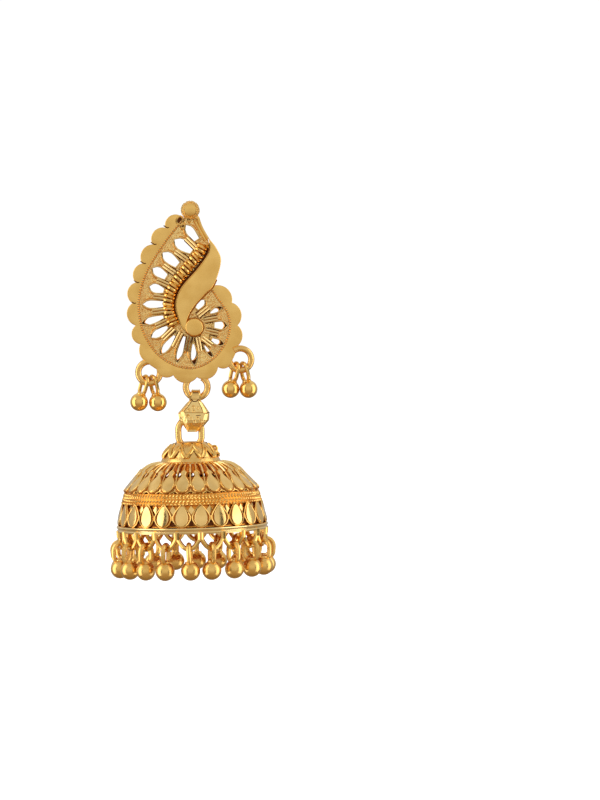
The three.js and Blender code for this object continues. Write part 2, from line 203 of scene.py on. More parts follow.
# Deep orange gold: painted shade, the colour of light bounced between gold walls, for hollows and the bell's
# insides.
recess_shade = gold("recess_shade_gold", (0.82, 0.33, 0.05), 0.34)
# Nearly black gold: painted shadow, for dark gaps, grooves, creases, hole floors and lines beside wires.
painted_shadow = gold("painted_shadow_gold", (0.14, 0.04, 0.012), 0.5)

# The border. Its notches are given from the top end down the left side and up the right one. A third number
# is how far the next scallop bulges, as a share of its width, where that isn't the usual share.
plate_back = 0.0
border_front = -1.0
usual_bulge = 0.28
notches = [
    (-3.7, 7.05), (-5.65, 5.1, 0.32), (-7.55, 2.6), (-9.1, -0.25), (-10.1, -3.1, 0.31), (-10.6, -6.2, 0.31),
    (-10.1, -9.55, 0.32), (-9.4, -12.35, 0.15), (-9.0, -14.6, 0.02), (-6.95, -16.1), (-4.45, -17.0),
    (-0.9, -17.3), (2.25, -15.75), (4.3, -14.9, 0.02), (5.35, -12.45, 0.22), (5.2, -9.5), (4.35, -6.1),
    (1.6, -3.55)]
border_end = [(0.7, -3.5), (0.8, -4.2)]
inner_line = [
    (-2.8, 6.45), (-3.4, 5.85), (-5.25, 3.6), (-7.85, -0.35), (-9.3, -3.8), (-9.65, -7.2), (-8.9, -10.7),
    (-6.9, -13.8), (-4.0, -15.6), (-1.1, -15.9), (1.7, -14.4), (3.7, -11.5), (3.9, -8.1), (1.5, -4.35)]


def scallop(start, end):
    """The points of a round scallop that bulges out between two notches, without the last one."""
    a, b = Vector(start[:2]), Vector(end[:2])
    chord = (b - a).length
    rise = (start[2] if len(start) > 2 else usual_bulge) * chord
    radius = (chord * chord / 4 + rise * rise) / (2 * rise)
    out = Vector((b.y - a.y, a.x - b.x)) / chord
    centre = (a + b) / 2 - out * (radius - rise)
    first = math.atan2(a.y - centre.y, a.x - centre.x)
    sweep = 2 * math.asin(chord / 2 / radius)
    steps = 10
    turns = [first + sweep * i / steps for i in range(steps)]
    return [(centre.x + radius * math.cos(turn), centre.y + radius * math.sin(turn)) for turn in turns]


def smooth_line(points, steps=6, closed=False):
    """A smooth line through points, with this many steps between two of them."""
    given = [Vector(point) for point in points]
    count = len(given)
    line = []
    for i in range(count if closed else count - 1):
        before = given[(i - 1) % count] if closed or i > 0 else given[0] * 2 - given[1]
        a, b = given[i], given[(i + 1) % count]
        after = given[(i + 2) % count] if closed or i + 2 < count else b * 2 - a
        for step in range(steps):
            t = step / steps
            pull = (after - before + (a - b) * 3) * t + before * 2 - a * 5 + b * 4 - after
            line.append(tuple(a + (pull * t + b - before) * t / 2))
    return line if closed else [*line, tuple(given[-1])]


def finished_mesh(shape, material):
    """A mesh from a bmesh in mm, with doubles merged, normals outward and one material."""
    merge_gap = 0.0001
    bmesh.ops.remove_doubles(shape, verts=shape.verts, dist=merge_gap)
    bmesh.ops.recalc_face_normals(shape, faces=shape.faces)
    mesh = bpy.data.meshes.new("part")
    shape.to_mesh(mesh)
    shape.free()
    mesh.materials.append(material)
    return mesh


def sheet(outlines, material, back, front, edge=0.0):
    """A flat standing sheet between y back and y front, cut to outlines of x and z, with rounded edges."""
    data = bpy.data.curves.new("sheet", "CURVE")
    data.dimensions = "2D"
    data.fill_mode = "BOTH"
    for outline in outlines:
        spline = data.splines.new("POLY")
        spline.points.add(len(outline) - 1)
        for point, (x, z) in zip(spline.points, outline):
            point.co = (x, z, 0, 1)
        spline.use_cyclic_u = True
    data.extrude = (back - front) / 2 - edge
    data.bevel_depth = edge
    data.bevel_resolution = 2
    data.offset = -edge
    flat = bpy.data.objects.new("sheet", data)
    shape = bmesh.new()
    shape.from_mesh(bpy.data.meshes.new_from_object(flat))
    upright = Matrix.Rotation(math.radians(90), 4, "X")
    shape.transform(Matrix.Translation((0, (back + front) / 2, 0)) @ upright)
    for face in shape.faces:
        face.material_index = 0
    return finished_mesh(shape, material)


scallops = [point for a, b in zip(notches, notches[1:]) for point in scallop(a, b)]
inner_edge = smooth_line(inner_line)
border_line = [*scallops, notches[-1][:2], *border_end, *reversed(inner_edge)]
border = sheet([border_line], polished, back=plate_back, front=border_front, edge=0.1)

# The ground and its windows. Each window is given by its tip, its foot, its greatest width and its width at
# the foot. Some run on to a tip that is only pressed in, not sawn through, given by the window's number.
floor_front = -0.3
ground_front = -0.7
ground_end = [(0.9, -2.0), (1.1, 2.0), (0.7, 3.6), (-0.25, 5.3), (-0.6, 6.8), (-1.9, 7.6), (-2.9, 7.0)]
windows = [
    ((-2.6, 5.6), (-0.95, 3.2), 1.35, 1.05), ((-4.35, 3.4), (-1.65, 1.5), 1.75, 0.75),
    ((-6.1, 1.45), (-3.75, -0.5), 1.65, 1.0), ((-7.6, -0.9), (-5.45, -2.3), 1.5, 0.9),
    ((-8.1, -3.65), (-5.8, -4.35), 1.45, 0.65), ((-9.1, -6.35), (-5.9, -6.35), 1.25, 0.95),
    ((-8.75, -9.1), (-5.85, -8.2), 1.15, 0.45), ((-7.8, -11.4), (-5.25, -9.7), 1.25, 0.4),
    ((-6.15, -13.7), (-4.2, -11.0), 1.1, 0.4), ((-3.85, -14.7), (-2.75, -11.1), 0.95, 0.45),
    ((-1.6, -14.8), (-1.45, -12.25), 1.0, 0.3), ((0.95, -13.45), (0.2, -12.5), 0.6, 0.25),
    ((2.5, -12.15), (1.25, -11.65), 0.9, 0.6), ((3.2, -9.55), (1.65, -9.45), 1.25, 0.85),
    ((2.35, -7.1), (1.05, -7.7), 0.8, 0.25), ((0.25, -5.6), (-0.95, -7.05), 1.05, 0.55)]
pressed_tips = {6: (-9.3, -9.28), 8: (-6.45, -13.95), 9: (-3.95, -15.3), 10: (-1.3, -15.6),
                11: (1.45, -14.35), 12: (3.2, -12.4), 13: (3.7, -9.55), 14: (2.9, -6.7)}
# How wide a window is at shares of the way from its foot to its tip.
window_shape = [(0.0, 0.0), (0.2, 0.55), (0.42, 0.92), (0.62, 1.0), (0.8, 0.78), (0.92, 0.36)]


def window_outline(tip, foot, width, foot_width, wider=0.0):
    """A pointed window: its sides bulge from its foot to its widest place and close at its tip."""
    tip, foot = Vector(tip), Vector(foot)
    width += wider
    foot_width += wider
    side = Vector((foot.y - tip.y, tip.x - foot.x)).normalized()
    halves = [(foot_width + (width - foot_width) * wide if share < 0.5 else width * wide, share)
              for share, wide in window_shape]
    right = [foot.lerp(tip, share) - side * wide / 2 for wide, share in halves]
    left = [foot.lerp(tip, share) + side * wide / 2 for wide, share in halves]
    return [tuple(point) for point in [*right, tip, *reversed(left)]]


ground_line = [*inner_edge, *ground_end]
open_windows = [window_outline(*window) for window in windows]
ground_windows = [window_outline(pressed_tips.get(index, tip), *rest, wider=0.08)
                  for index, (tip, *rest) in enumerate(windows)]
back_sheet = sheet([ground_line, *open_windows], polished, back=plate_back, front=floor_front)
# The thin dark sheet under the pressed tips is painted shadow.
pressed_floor = sheet([ground_line, *open_windows], painted_shadow, back=floor_front, front=floor_front - 0.04)
ground = sheet([ground_line, *ground_windows], granulated, back=floor_front, front=ground_front, edge=0.05)


def new_tree(name, **inputs):
    """A Geometry Nodes tree with a geometry input and more inputs, given by name and kind of socket."""
    tree = bpy.data.node_groups.new(name, "GeometryNodeTree")
    sockets = tree.interface
    sockets.new_socket("Geometry", in_out="INPUT", socket_type="NodeSocketGeometry")
    for label, kind in inputs.items():
        sockets.new_socket(label, in_out="INPUT", socket_type="NodeSocket" + kind)
    sockets.new_socket("Geometry", in_out="OUTPUT", socket_type="NodeSocketGeometry")
    return tree, tree.nodes.new("NodeGroupInput").outputs


def end_tree(tree, made, given):
    """The end of a tree: real geometry with a material on it."""
    real = new_node(tree, "GeometryNodeRealizeInstances", made)
    painted = new_node(tree, "GeometryNodeSetMaterial", Geometry=real, Material=given["Material"])
    new_node(tree, "NodeGroupOutput", painted)
    return tree


def made_by(tree, source, **values):
    """The mesh that a Geometry Nodes tree makes of an object, with the values of its inputs."""
    bpy.context.scene.collection.objects.link(source)
    modifier = source.modifiers.new(tree.name, "NODES")
    modifier.node_group = tree
    for item in tree.interface.items_tree:
        if item.name in values:
            modifier[item.identifier] = values[item.name]
    evaluated = source.evaluated_get(bpy.context.evaluated_depsgraph_get())
    mesh = bpy.data.meshes.new_from_object(evaluated)
    bpy.data.objects.remove(source)
    return mesh


def grain_tree():
    """Grains of mixed sizes strewn over faces. Least is how far a face has to look to the front."""
    tree, given = new_tree("grains", Gap="Float", Size="Float", Least="Float", Material="Material")
    facing = new_node(tree, "GeometryNodeInputNormal")
    forwards = new_node(tree, "ShaderNodeVectorMath", facing, (0, -1, 0), operation="DOT_PRODUCT")
    chosen = new_node(tree, "FunctionNodeCompare", A=forwards.outputs["Value"], B=given["Least"])
    strewn = new_node(tree, "GeometryNodeDistributePointsOnFaces", distribute_method="POISSON",
                      Mesh=given["Geometry"], Selection=chosen, Distance_Min=given["Gap"], Density_Max=60.0,
                      Seed=4)
    size = new_node(tree, "FunctionNodeRandomValue", Min=0.75, Max=1.2, Seed=7)
    grain = new_node(tree, "GeometryNodeMeshUVSphere", Segments=6, Rings=4, Radius=given["Size"])
    placed = new_node(tree, "GeometryNodeInstanceOnPoints", Points=strewn, Instance=grain,
                      Scale=size.outputs[1])
    return end_tree(tree, placed, given)


def grained(mesh, material, gap, size, all_over=False):
    """Grains strewn over a mesh, all over it or only where it looks to the front."""
    source = bpy.data.objects.new("grained", mesh.copy())
    least = -2.0 if all_over else 0.5
    return made_by(grains, source, Gap=gap, Size=size, Least=least, Material=material)


grains = grain_tree()
webs = grained(ground, granulated, gap=0.17, size=0.1)

# The rims of the windows with lines of painted shade beside them, and between the windows pairs of rods with
# dark wires beside and between them, painted shadow in their grooves.
rod_depths = (-0.95, -1.08, -1.15)
groove_depths = (-0.8, -0.95)
rod_apart = 0.21
rod_start = 0.55
short_rods = 10
short_reach = 0.5
long_reach = 1.1


def lines_of(lines, closed=False):
    """A curve object with straight pieces through the points of each line."""
    data = bpy.data.curves.new("lines", "CURVE")
    data.dimensions = "3D"
    for line in lines:
        spline = data.splines.new("POLY")
        spline.points.add(len(line) - 1)
        for point, place in zip(spline.points, line):
            point.co = (*place, 1)
        spline.use_cyclic_u = closed
    return bpy.data.objects.new("lines", data)


def at_depth(line, *depths):
    """A line of x and z that stands at one y, or with a y for each of its points."""
    if len(depths) == 1:
        depths *= len(line)
    return [(x, y, z) for (x, z), y in zip(line, depths)]


def wire_tree():
    """Round wire along each line."""
    tree, given = new_tree("wire", Radius="Float", Sides="Int", Material="Material")
    section = new_node(tree, "GeometryNodeCurvePrimitiveCircle", Resolution=given["Sides"],
                       Radius=given["Radius"])
    tube = new_node(tree, "GeometryNodeCurveToMesh", Curve=given["Geometry"], Profile_Curve=section,
                    Fill_Caps=True)
    return end_tree(tree, tube, given)


def wires(lines, material, radius, sides=8, closed=False):
    """Round wire, of a radius in mm, along lines of points."""
    return made_by(wire, lines_of(lines, closed), Radius=radius, Sides=sides, Material=material)


wire = wire_tree()
rim_lines = [at_depth(line, ground_front - 0.14) for line in ground_windows]
flank_lines = [at_depth(window_outline(*window, wider=0.55)[2:-2], ground_front - 0.06) for window in windows]
window_rims = wires(rim_lines, painted_highlight, radius=0.13, closed=True)
rim_flanks = wires(flank_lines, flank_shade, radius=0.09, sides=6)
rod_lines = []
groove_lines = []
for index, ((tip_a, foot_a, *_), (tip_b, foot_b, *_)) in enumerate(zip(windows, windows[1:])):
    start_a = Vector(foot_a).lerp(Vector(tip_a), rod_start)
    start_b = Vector(foot_b).lerp(Vector(tip_b), rod_start)
    outer = (start_a + start_b) / 2
    inner = (Vector(foot_a) + Vector(foot_b)) / 2
    inner += (inner - outer).normalized() * (short_reach if index < short_rods else long_reach)
    side = Vector((inner.y - outer.y, outer.x - inner.x)).normalized() * rod_apart
    for offset in (side, -side):
        rod_line = [outer + offset, outer.lerp(inner, 0.3) + offset, inner + offset]
        rod_lines.append(at_depth(rod_line, *rod_depths))
    for offset in (side * 0, side * 2, side * -2):
        groove_lines.append(at_depth([outer + offset, inner + offset], *groove_depths))
window_rods = wires(rod_lines, painted_highlight, radius=0.2)
rod_grooves = wires(groove_lines, painted_shadow, radius=0.13, sides=6)

# A beaded line along the border's inner edge, on a bed of painted shade; two rods and four small wire eyes
# at the top end, with painted shadow inside the eyes; and dark lines of painted shadow for the creases that
# run in from the notches of the left side.
top_rod_lines = [smooth_line([(-0.75, 6.6), (-0.35, 5.4), (0.15, 4.4), (0.75, 3.4)]),
                 smooth_line([(-1.35, 6.5), (-0.8, 5.35), (-0.25, 4.3), (0.35, 3.2)])]
eye_places = [(-3.45, 6.15, 0.5), (-3.0, 5.3, 0.26), (-2.05, 6.3, 0.2), (-1.2, 6.4, 0.17)]
eye_points = 6
eye_stretch = 1.3
crease_shape = [(-0.22, -0.85, 0.3), (0.05, -0.98, 0.12), (0.32, -0.98, -0.02), (0.6, -0.95, 0.02)]


def bead_tree():
    """A row of beads along each line."""
    tree, given = new_tree("beads", Spacing="Float", Size="Float", Material="Material")
    row = new_node(tree, "GeometryNodeCurveToPoints", mode="LENGTH", Curve=given["Geometry"],
                   Length=given["Spacing"])
    bead = new_node(tree, "GeometryNodeMeshUVSphere", Segments=8, Rings=5, Radius=given["Size"])
    placed = new_node(tree, "GeometryNodeInstanceOnPoints", Points=row, Instance=bead)
    return end_tree(tree, placed, given)


milgrain_line = at_depth(inner_edge, border_front + 0.02)
milgrain = made_by(bead_tree(), lines_of([milgrain_line]), Spacing=0.36, Size=0.16, Material=painted_highlight)
milgrain_bed = wires([at_depth(inner_edge, border_front + 0.12)], recess_shade, radius=0.17, sides=6)
top_rods = wires([at_depth(line, -0.75) for line in top_rod_lines], polished, radius=0.24, sides=10)
eyes = []
for x, z, size in eye_places:
    eye_corners = [(x + size * math.sin(turn), z + eye_stretch * size * math.cos(turn))
                   for turn in range(eye_points)]
    eye_line = smooth_line(eye_corners, 4, closed=True)
    eyes.append(wires([at_depth(eye_line, border_front)], polished, radius=0.17, closed=True))
    eyes.append(sheet([eye_line], painted_shadow, back=ground_front, front=border_front - 0.02))
notch_lines = [[(x + across, y, z + up) for across, y, up in crease_shape] for x, z, *_ in notches[1:6]]
notch_creases = wires(notch_lines, painted_shadow, radius=0.09, sides=6)


def piece(name, body, nodes, parts, place=Matrix(), sharp=32):
    """One object of the parts, in metres, smooth but for sharp edges, on a body and in place of nodes."""
    shape = bmesh.new()
    materials = []
    for part in parts:
        first = len(shape.faces)
        shape.from_mesh(part)
        shape.faces.ensure_lookup_table()
        for face in shape.faces[first:]:
            material = part.materials[face.material_index]
            if material not in materials:
                materials.append(material)
            face.material_index = materials.index(material)
            face.smooth = True
    shape.transform(Matrix.Scale(mm, 4) @ place)
    mesh = bpy.data.meshes.new(name)
    shape.to_mesh(mesh)
    shape.free()
    for material in materials:
        mesh.materials.append(material)
    mesh.set_sharp_from_angle(angle=math.radians(sharp))
    made = bpy.data.objects.new(name, mesh)
    bpy.context.scene.collection.objects.link(made)
    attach(made, body)
    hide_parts(*nodes)


piece("plate_sheet", "top", ["top_plate"],
      [border, back_sheet, pressed_floor, ground, webs, window_rims, rim_flanks, window_rods, rod_grooves,
       milgrain, milgrain_bed, top_rods, *eyes, notch_creases])

# Leaf
# An S-shaped crescent, stamped from brass sheet and polished, with rounded edges. It is laid over the middle
# of the plate and soldered on, with a dark wire of painted shade along its right side. A fine wire runs along
# its left edge, beside a dark gap filled with a strip of painted shadow.
leaf_front = -1.85
leaf_tip = (0.85, 3.55)
leaf_end = (-2.35, -10.5)
leaf_left = [leaf_tip, (0.9, 1.4), (-0.8, -1.15), (-3.1, -3.8), (-4.0, -5.9), (-3.95, -7.4), (-3.25, -9.55),
             leaf_end]
leaf_right = [leaf_tip, (2.05, 1.95), (2.7, 0.0), (1.65, -3.4), (-0.05, -5.25), (-1.5, -6.9), (-2.35, -8.7),
              leaf_end]
left_edge = smooth_line(leaf_left, 8)
right_edge = smooth_line(leaf_right, 8)
gap_line = [(x - 0.2, z + 0.08) for x, z in left_edge[6:46]]
leaf_shade_path = [(x + 0.05, z - 0.04) for x, z in right_edge[22:50]]
# Dark brown gold: painted shade at edges and between parts.
painted_shade = gold("painted_shade_gold", (0.52, 0.2, 0.035), 0.4)
leaf_line = [*left_edge[:-1], *reversed(right_edge[1:])]
leaf = sheet([leaf_line], polished, back=ground_front, front=leaf_front, edge=0.16)
leaf_wire = wires([at_depth(left_edge[3:], leaf_front + 0.07)], polished, radius=0.09)
leaf_gap = wires([at_depth(gap_line, border_front)], painted_shadow, radius=0.2)
leaf_shade_wire = wires([at_depth(leaf_shade_path, -1.15)], painted_shade, radius=0.12)
piece("leaf", "top", ["top_plate"], [leaf, leaf_wire, leaf_gap, leaf_shade_wire])

# Coil
# Round brass wire, wound close on a flat bar and gold plated. The coil lies on the plate along the leaf's
# left side, bent to its curve, and is soldered down at its turns.
coil_path = [
    (0.0, 2.6), (-0.65, 1.15), (-1.6, 0.05), (-2.8, -1.5), (-3.7, -2.6), (-4.5, -3.85), (-5.0, -5.15),
    (-5.15, -6.6), (-4.9, -8.1), (-4.05, -9.6)]
coil_turns = 23.5
coil_steps = 460


def coil_tree():
    """Wire wound round each line: across it in the plane of the plate, and up and down from the plate."""
    tree, given = new_tree("coil", Turns="Float", Across="Float", High="Float", Radius="Float",
                           Material="Material")
    steps = new_node(tree, "GeometryNodeResampleCurve", Curve=given["Geometry"], Count=coil_steps)
    share = new_node(tree, "GeometryNodeSplineParameter")
    turn = new_node(tree, "ShaderNodeMath", share.outputs["Factor"], given["Turns"], operation="MULTIPLY")
    angle = new_node(tree, "ShaderNodeMath", turn, 2 * math.pi, operation="MULTIPLY")
    along = new_node(tree, "GeometryNodeInputTangent")
    to_side = new_node(tree, "ShaderNodeVectorMath", along, (0, 1, 0), operation="CROSS_PRODUCT")
    swings = []
    for operation, reach in [("COSINE", "Across"), ("SINE", "High")]:
        swing = new_node(tree, "ShaderNodeMath", angle, operation=operation)
        swings.append(new_node(tree, "ShaderNodeMath", swing, given[reach], operation="MULTIPLY"))
    across = new_node(tree, "ShaderNodeVectorMath", to_side, operation="SCALE", Scale=swings[0])
    high = new_node(tree, "ShaderNodeCombineXYZ", Y=swings[1])
    offset = new_node(tree, "ShaderNodeVectorMath", across, high, operation="ADD")
    wound = new_node(tree, "GeometryNodeSetPosition", Geometry=steps, Offset=offset)
    section = new_node(tree, "GeometryNodeCurvePrimitiveCircle", Resolution=7, Radius=given["Radius"])
    tube = new_node(tree, "GeometryNodeCurveToMesh", Curve=wound, Profile_Curve=section, Fill_Caps=True)
    return end_tree(tree, tube, given)


coil = made_by(coil_tree(), lines_of([at_depth(smooth_line(coil_path, 4), -1.05)]),
               Turns=coil_turns, Across=0.7, High=0.4, Radius=0.25, Material=polished)
piece("coil", "top", ["top_plate"], [coil])

# Boss and petal
# The boss is a flat disc of polished brass at the leaf's lower end, soldered on, with a dark ring of painted
# shade round it. Beside it is a small petal with a wire rim, and its inside is covered in grains like the
# plate's ground.
boss_middle = (-1.3, -9.8)
boss_radius = 1.3
boss_front = -1.98
boss_shade_radius = boss_radius * 1.04
petal_front = -1.15
petal_corners = [(-0.1, -9.9), (0.55, -10.1), (1.0, -10.8), (0.75, -11.6), (0.2, -11.8), (-0.4, -11.4)]
petal_line = smooth_line(petal_corners, closed=True)


def circle(middle, radius, sides):
    """The points of a circle."""
    turns = [2 * math.pi * i / sides for i in range(sides)]
    return [(middle[0] + radius * math.cos(turn), middle[1] + radius * math.sin(turn)) for turn in turns]


boss = sheet([circle(boss_middle, boss_radius, 40)], polished, back=ground_front, front=boss_front, edge=0.14)
boss_shade_path = at_depth(circle(boss_middle, boss_shade_radius, 40), -1.25)
boss_shade_ring = wires([boss_shade_path], painted_shade, radius=0.13, closed=True)
petal = sheet([petal_line], granulated, back=ground_front, front=petal_front, edge=0.12)
petal_grains = grained(petal, granulated, gap=0.17, size=0.09)
petal_rim = wires([at_depth(petal_line, petal_front + 0.05)], polished, radius=0.11, closed=True)
piece("boss", "top", ["top_plate"], [boss, boss_shade_ring, petal, petal_grains, petal_rim])

# Top ball
# A half ball, pressed from brass sheet and soldered on the plate's top end. Fine gold grains are melted on
# all round its side, and its front is filed flat and polished.
ball_middle = (-1.9, -0.9, 7.75)
ball_profile = [(0, -1.05), (0.8, -1.05), (0.93, -0.98), (1.02, -0.8), (1.17, -0.6), (1.28, -0.3),
                (1.32, 0.0), (1.25, 0.4), (1.0, 0.75), (0, 0.88)]
side_profile = ball_profile[3:9]


def lathe(profile, material, sides, axis="Z"):
    """A turned piece from a profile of radius and height, about Z, or about Y with its height to the back."""
    shape = bmesh.new()
    corners = {}
    for i in range(sides):
        turn = 2 * math.pi * i / sides
        for radius, height in profile:
            place = (radius * math.cos(turn), radius * math.sin(turn), height)
            key = (i if radius else 0, radius, height)
            if key not in corners:
                corners[key] = shape.verts.new(place)
    for i in range(sides):
        j = (i + 1) % sides
        for (r0, z0), (r1, z1) in zip(profile, profile[1:]):
            face = [(i, r0, z0), (j, r0, z0), (j, r1, z1), (i, r1, z1)]
            keys = dict.fromkeys((side if radius else 0, radius, z) for side, radius, z in face)
            shape.faces.new([corners[key] for key in keys])
    if axis == "Y":
        shape.transform(Matrix.Rotation(math.radians(-90), 4, "X"))
    return finished_mesh(shape, material)


top_ball = lathe(ball_profile, polished, sides=32, axis="Y")
ball_side = lathe(side_profile, polished, sides=32, axis="Y")
top_grains = grained(ball_side, granulated, gap=0.24, size=0.14, all_over=True)
piece("top_ball", "top", ["top_plate"], [top_ball, top_grains], Matrix.Translation(ball_middle))

# Rings
# Three rings of round brass wire, soldered behind the plate's lower edge to carry the side drops and the
# link. The right one is cut open, and its end comes forward onto the plate's front.
ring_y = -0.52
ring_radius = 1.63
ring_wire = 0.48


def arc(middle, first, last, forwards=0.0):
    """Points of a ring in the plane of the plate, from one angle to another. Its end may come forwards."""
    steps = 36
    points = []
    for i in range(steps + 1):
        turn = math.radians(first + (last - first) * i / steps)
        y = ring_y - forwards * (i / steps) ** 2
        points.append((middle[0] + ring_radius * math.cos(turn), y, middle[1] + ring_radius * math.sin(turn)))
    return points


worn = gold("worn_gold", (0.9, 0.56, 0.18), 0.24, dents=0.6, grain=3.0)
left_ring = arc((-8.05, -16.55), 90, 380)
middle_ring = arc((-0.95, -18.75), 60, -240)
right_ring = arc((5.6, -14.6), -170, 126, forwards=0.62)
rings = wires([left_ring, middle_ring, right_ring], worn, radius=ring_wire, sides=16)
piece("rings", "top", ["top_plate"], [rings])

# Ear post
# A plain round pin of brass wire with a rounded tip, which goes through the ear. It stands on a flat pad that
# is soldered to the plate's back.
post_profile = [(0, 0.02), (1.42, 0.02), (1.5, 0.1), (1.5, 0.42), (1.4, 0.52), (0.62, 0.55), (0.45, 0.75),
                (0.45, 10.2), (0.38, 10.45), (0.2, 10.58), (0, 10.62)]
piece("ear_post_pin", "top", ["ear_post"], [lathe(post_profile, polished, sides=28, axis="Y")])

# Side drops
# Two small drops hang on each side ring. A drop is a hollow ball of thin brass, polished, with a collar where
# it is soldered to a long loop of round wire. The two loops of a ring lean apart.


def ball(radius, material, levels, sides):
    """A round ball about the origin."""
    turns = [math.pi * i / levels for i in range(levels + 1)]
    profile = [(radius * math.sin(turn), radius * math.cos(turn)) for turn in turns]
    return lathe(profile, material, sides)


def drop(loop_radius, wire_radius, stretch, ball_radius, ball_down, ball_out, material):
    """The parts of a drop, with the loop's top at the origin and the loop in the plane of x and z."""
    steps = 28
    loop = []
    for i in range(steps):
        turn = 2 * math.pi * i / steps
        z = loop_radius * math.sin(turn)
        z -= stretch if i > steps / 2 else 0
        loop.append((loop_radius * math.cos(turn), 0, z - loop_radius - wire_radius))
    bent = wires([loop], material, radius=wire_radius, sides=10, closed=True)
    round_ball = ball(ball_radius, material, levels=14, sides=24)
    seat = 0.42 * ball_radius
    top = 0.9 * ball_radius
    collar = lathe([(seat - 0.06, top - 0.1), (seat, top + 0.12), (seat + 0.12, top + 0.1),
                    (seat + 0.16, top - 0.14)], material, sides=20)
    for part in (round_ball, collar):
        part.transform(Matrix.Translation((ball_out, 0, -ball_down)))
    return [bent, round_ball, collar]


drop_y = -0.55
drop_twist = 115
side_drops = [("left_outer", -8.45, -16.85, 15), ("left_inner", -7.73, -16.85, -13),
              ("right_inner", 5.1, -14.87, 13), ("right_outer", 5.85, -14.87, -13)]
for side, x, z, lean in side_drops:
    side_drop = drop(loop_radius=1.05, wire_radius=0.29, stretch=0.8, ball_radius=1.35, ball_down=4.3,
                     ball_out=0, material=polished)
    hang = Matrix.Translation((x, drop_y, z)) @ Matrix.Rotation(math.radians(lean), 4, "Y")
    place = hang @ Matrix.Rotation(math.radians(drop_twist), 4, "Z")
    piece("ball_drop_" + side, "top", ["side_drop_" + side], side_drop, place)

# Link
# The faceted connector is stamped from brass sheet and folded, so it is hollow. Its facets are cut with a
# diamond tool, which leaves small dents; thin dark wires along its creases are painted shade. Its strap is
# bent over the plate's middle ring, and the bell's ring runs round its lower end.
link_place = Matrix.Translation((-0.95, -0.55, -18.75))
# Each level of its body: its height; from left to right its outer edge, two front edges and outer edge; and
# how far forward its front, the bends beside the front and its sides are. A bend lies at a share of the way
# from a front edge to the outer edge.
link_levels = [
    (-1.9, -1.12, -0.72, 0.2, 0.66, 1.22, 0.98, 0.45), (-3.7, -2.62, -1.95, 0.98, 1.85, 1.42, 1.08, 0.5),
    (-3.85, -2.75, -1.88, 1.1, 1.92, 1.37, 1.05, 0.55), (-4.0, -2.76, -1.82, 1.25, 1.92, 1.44, 1.12, 0.62),
    (-4.9, -2.62, -1.48, 0.95, 1.88, 1.5, 1.14, 0.66), (-5.35, -2.3, -1.3, 0.66, 1.5, 1.42, 1.1, 0.66),
    (-5.68, -2.05, -1.28, 0.55, 1.22, 1.26, 1.0, 0.66), (-6.4, -1.55, -1.1, 0.05, 0.45, 0.84, 0.76, 0.62),
    (-6.72, -1.35, -1.05, -0.35, 0.0, 0.8, 0.72, 0.6)]


def loft(levels, material):
    """A closed body through levels of the same number of points, with flat ends."""
    shape = bmesh.new()
    loops = [[shape.verts.new(point) for point in level] for level in levels]
    for upper, lower in zip(loops, loops[1:]):
        for i in range(len(upper)):
            j = (i + 1) % len(upper)
            shape.faces.new((upper[i], upper[j], lower[j], lower[i]))
    shape.faces.new(loops[0])
    shape.faces.new(reversed(loops[-1]))
    return finished_mesh(shape, material)


def cut(mesh, cutter, material):
    """A mesh less a cutter."""
    kept = bpy.data.objects.new("kept", mesh)
    tool = bpy.data.objects.new("tool", cutter)
    bpy.context.scene.collection.objects.link(kept)
    bpy.context.scene.collection.objects.link(tool)
    difference = kept.modifiers.new("cut", "BOOLEAN")
    difference.object = tool
    difference.solver = "EXACT"
    made = bpy.data.meshes.new_from_object(kept.evaluated_get(bpy.context.evaluated_depsgraph_get()))
    made.materials.clear()
    made.materials.append(material)
    for face in made.polygons:
        face.material_index = 0
    bpy.data.objects.remove(kept)
    bpy.data.objects.remove(tool)
    return made


facet = gold("facet_gold", (0.93, 0.62, 0.23), 0.12, dents=0.08)
dented = gold("dented_gold", (0.95, 0.66, 0.25), 0.15, dents=3.0, grain=1.4)
bend = 0.6
level_points = []
for z, left, front_left, front_right, right, front, middle, side in link_levels:
    half = [(left, side), (front_left * (1 - bend) + left * bend, middle), (front_left, front),
            (front_right, front), (front_right * (1 - bend) + right * bend, middle), (right, side)]
    level_points.append([(x, -y, z) for x, y in half] + [(x, y, z) for x, y in reversed(half)])
link_body = loft(level_points, dented)

# A slot round the lower end for the bell's ring, wider below, a hole for the middle ring, and the dents.
hook_middle = (-1.02, -6.45)
slot_upper = 2.4
slot_lower = 3.0
slot_step = 0.35
slot_line = []
for x, z in circle((0, 0), 1.0, 48):
    reach = slot_upper if z > slot_step else slot_lower
    slot_line.append((hook_middle[0] + x * reach, hook_middle[1] + z * reach))
ring_slot = sheet([slot_line, circle(hook_middle, 1.12, 32)], dented, back=0.58, front=-0.58)
link_body = cut(link_body, ring_slot, dented)
strap_middle = (0.0, -1.63)
strap_inside = 0.9
strap_outside = 1.25
strap_hole = sheet([circle(strap_middle, strap_inside, 32)], dented, back=1.4, front=-1.4)
strap_hole.transform(Matrix.Rotation(math.radians(90), 4, "Z"))
link_body = cut(link_body, strap_hole, dented)
dent_radius = 0.27
dent_places = [(-0.5, -1.43, -2.95), (0.18, -1.46, -3.12), (-1.15, -1.49, -3.4), (-0.45, -1.51, -3.56),
               (-0.85, -1.61, -4.7), (0.1, -1.61, -4.6), (0.62, -1.59, -5.05), (-0.3, -1.6, -5.15),
               (-1.3, -1.57, -4.28)]
dent_shape = bmesh.new()
for dent_place in dent_places:
    bmesh.ops.create_icosphere(dent_shape, subdivisions=2, radius=dent_radius,
                               matrix=Matrix.Translation(dent_place))
link_body = cut(link_body, finished_mesh(dent_shape, dented), dented)

